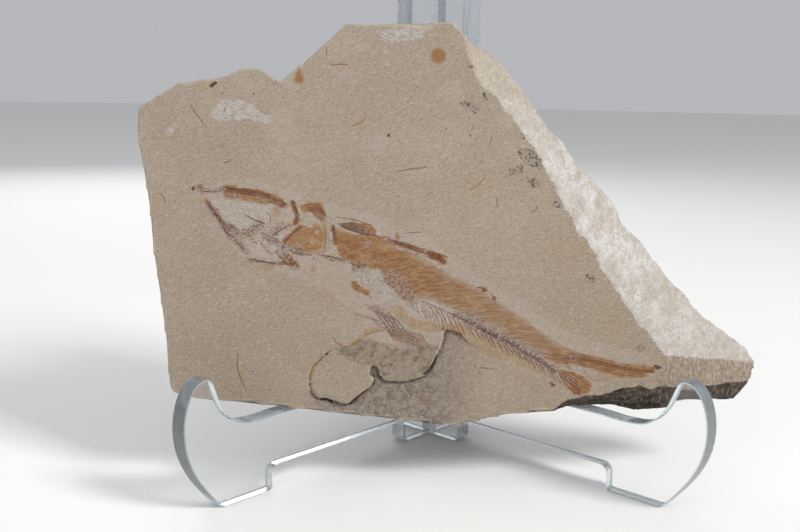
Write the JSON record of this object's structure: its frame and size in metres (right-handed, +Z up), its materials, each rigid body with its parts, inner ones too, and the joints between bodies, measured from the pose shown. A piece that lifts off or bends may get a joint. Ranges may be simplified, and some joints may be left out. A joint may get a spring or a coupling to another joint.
{
  "type": "fossil fish slab on display easel",
  "caption": "Irregular laminated limestone slab with a fossil fish lying across its face, leaning on a clear easel of interlocking flat plates.",
  "frame": {"origin": "on the ground under the line where the two easel plates cross, in the middle of the left plate's rear foot", "axes": "+X to the right along the slab's face as a viewer sees it, +Y away from the viewer, +Z up"},
  "size_m": [0.1978, 0.0912, 0.158],
  "materials": {
    "limestone": "matte",
    "clear_acrylic": "polished"
  },
  "bodies": {
    "root": {"fossil_slab": "limestone", "left_easel_plate": "clear_acrylic", "right_easel_plate": "clear_acrylic"}
  },
  "joints": []
}
